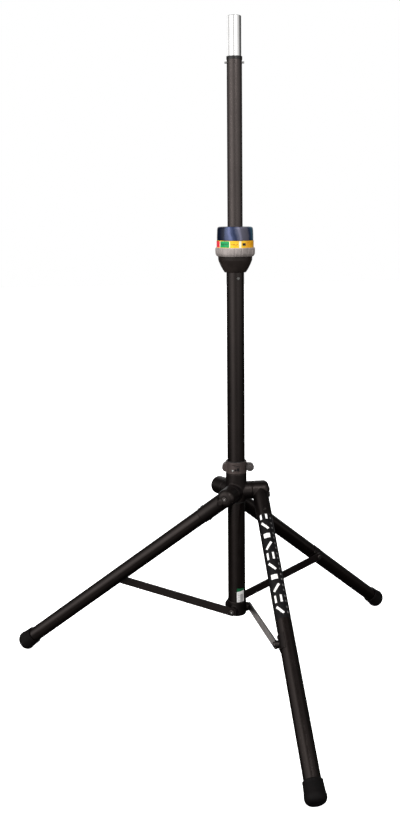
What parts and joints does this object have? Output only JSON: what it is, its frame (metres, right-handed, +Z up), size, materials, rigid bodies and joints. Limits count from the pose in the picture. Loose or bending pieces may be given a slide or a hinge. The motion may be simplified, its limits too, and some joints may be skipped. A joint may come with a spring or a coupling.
{
  "type": "speaker tripod stand",
  "caption": "Telescoping pole stand for a loudspeaker, with a twist-lock height collar and folding braced tripod legs.",
  "frame": {"origin": "the mast's axis at floor level", "axes": "+Z up the mast; -Y towards leg 1, the front leg"},
  "size_m": [1.066, 0.9819, 1.6725],
  "materials": {
    "black_coat": "aluminium tube with a satin black coat",
    "black_casting": "aluminium casting with a satin black coat",
    "black_bar": "satin black coated steel bar",
    "zinc_fastener": "zinc plated",
    "black_fastener": "black plated",
    "foot_rubber": "matte black rubber",
    "nylon": "black nylon",
    "black_plastic": "fine textured black plastic",
    "blue_cap": "glossy dark blue",
    "indicator_print": "printed red, green and yellow band",
    "grip_plastic": "grey brown grip",
    "bright_adapter": "bright machined aluminium",
    "ring_metal": "aluminium with a dark grey brown coat"
  },
  "bodies": {
    "mast": {"lower_mast_tube": "black_coat", "brace_hub": "black_casting", "brace_hub_bolts": "black_fastener", "mast_bumper": "foot_rubber", "guide_bush": "nylon", "clamp_collet": "nylon", "collar_cone": "black_plastic", "collar_rivets": "zinc_fastener"},
    "twist_collar": {"top_cap": "blue_cap", "indicator_band": "indicator_print", "grip_ring": "grip_plastic", "clamp_nut": "nylon"},
    "upper_mast": {"upper_mast_tube": "black_coat", "tube_end_ring": "black_plastic", "pole_adapter": "bright_adapter", "adapter_cross_pin": "zinc_fastener", "glide_bush": "nylon"},
    "leg_collar": {"leg_collar_casting": "black_casting", "collar_liner": "nylon", "clamp_ring": "ring_metal", "ring_set_screw": "zinc_fastener", "clamp_hex_nut": "zinc_fastener", "leg_pivot_bolts": "black_fastener"},
    "knob": {"clamp_knob": "black_plastic", "clamp_screw": "zinc_fastener"},
    "leg_1": {"leg_elbow_1": "black_casting", "leg_tube_1": "black_coat", "leg_foot_1": "foot_rubber", "brace_bracket_1": "black_casting", "leg_rivets_1": "black_fastener"},
    "brace_arm_1": {"brace_1": "black_bar", "brace_bolt_1": "black_fastener"},
    "leg_2": {"leg_elbow_2": "black_casting", "leg_tube_2": "black_coat", "leg_foot_2": "foot_rubber", "brace_bracket_2": "black_casting", "leg_rivets_2": "black_fastener"},
    "brace_arm_2": {"brace_2": "black_bar", "brace_bolt_2": "black_fastener"},
    "leg_3": {"leg_elbow_3": "black_casting", "leg_tube_3": "black_coat", "leg_foot_3": "foot_rubber", "brace_bracket_3": "black_casting", "leg_rivets_3": "black_fastener"},
    "brace_arm_3": {"brace_3": "black_bar", "brace_bolt_3": "black_fastener"}
  },
  "joints": [
    {"name": "upper_mast_slide", "type": "slide", "parent": "mast", "child": "upper_mast", "axis": [0, 0, 1], "range_m": [-0.38, 0.355]},
    {"name": "collar_twist", "type": "hinge", "parent": "mast", "child": "twist_collar", "pos_m": [0, 0, 1.1], "axis": [0, 0, 1], "range_deg": [0, 120]},
    {"name": "leg_collar_slide", "type": "slide", "parent": "mast", "child": "leg_collar", "axis": [0, 0, 1], "range_m": [0, 0.441]},
    {"name": "clamp_knob_turn", "type": "hinge", "parent": "leg_collar", "child": "knob", "pos_m": [0.03455, -0.00672, 0.54275], "axis": [-0.1908, -0.9816, 0], "range_deg": [-180, 180]},
    {"name": "leg_1_fold", "type": "hinge", "parent": "leg_collar", "child": "leg_1", "pos_m": [0.0604, 0, 0.4794], "axis": [1, 0, 0], "range_deg": [0, 50]},
    {"name": "brace_1_fold", "type": "hinge", "parent": "mast", "child": "brace_arm_1", "pos_m": [0.0335, 0, 0.1736], "axis": [-1, 0, 0], "range_deg": [0, 80.13]},
    {"name": "leg_2_fold", "type": "hinge", "parent": "leg_collar", "child": "leg_2", "pos_m": [-0.0302, 0.05231, 0.4794], "axis": [-0.5, 0.866, 0], "range_deg": [0, 50]},
    {"name": "brace_2_fold", "type": "hinge", "parent": "mast", "child": "brace_arm_2", "pos_m": [-0.01675, 0.02901, 0.1736], "axis": [0.5, -0.866, 0], "range_deg": [0, 80.13]},
    {"name": "leg_3_fold", "type": "hinge", "parent": "leg_collar", "child": "leg_3", "pos_m": [-0.0302, -0.05231, 0.4794], "axis": [-0.5, -0.866, 0], "range_deg": [0, 50]},
    {"name": "brace_3_fold", "type": "hinge", "parent": "mast", "child": "brace_arm_3", "pos_m": [-0.01675, -0.02901, 0.1736], "axis": [0.5, 0.866, 0], "range_deg": [0, 80.13]}
  ],
  "couplings": [
    {"joint": "leg_1_fold", "follows": "leg_collar_slide", "rad_per_m": 1.9788},
    {"joint": "brace_1_fold", "follows": "leg_collar_slide", "rad_per_m": 3.1695},
    {"joint": "leg_2_fold", "follows": "leg_collar_slide", "rad_per_m": 1.9788},
    {"joint": "brace_2_fold", "follows": "leg_collar_slide", "rad_per_m": 3.1695},
    {"joint": "leg_3_fold", "follows": "leg_collar_slide", "rad_per_m": 1.9788},
    {"joint": "brace_3_fold", "follows": "leg_collar_slide", "rad_per_m": 3.1695}
  ]
}
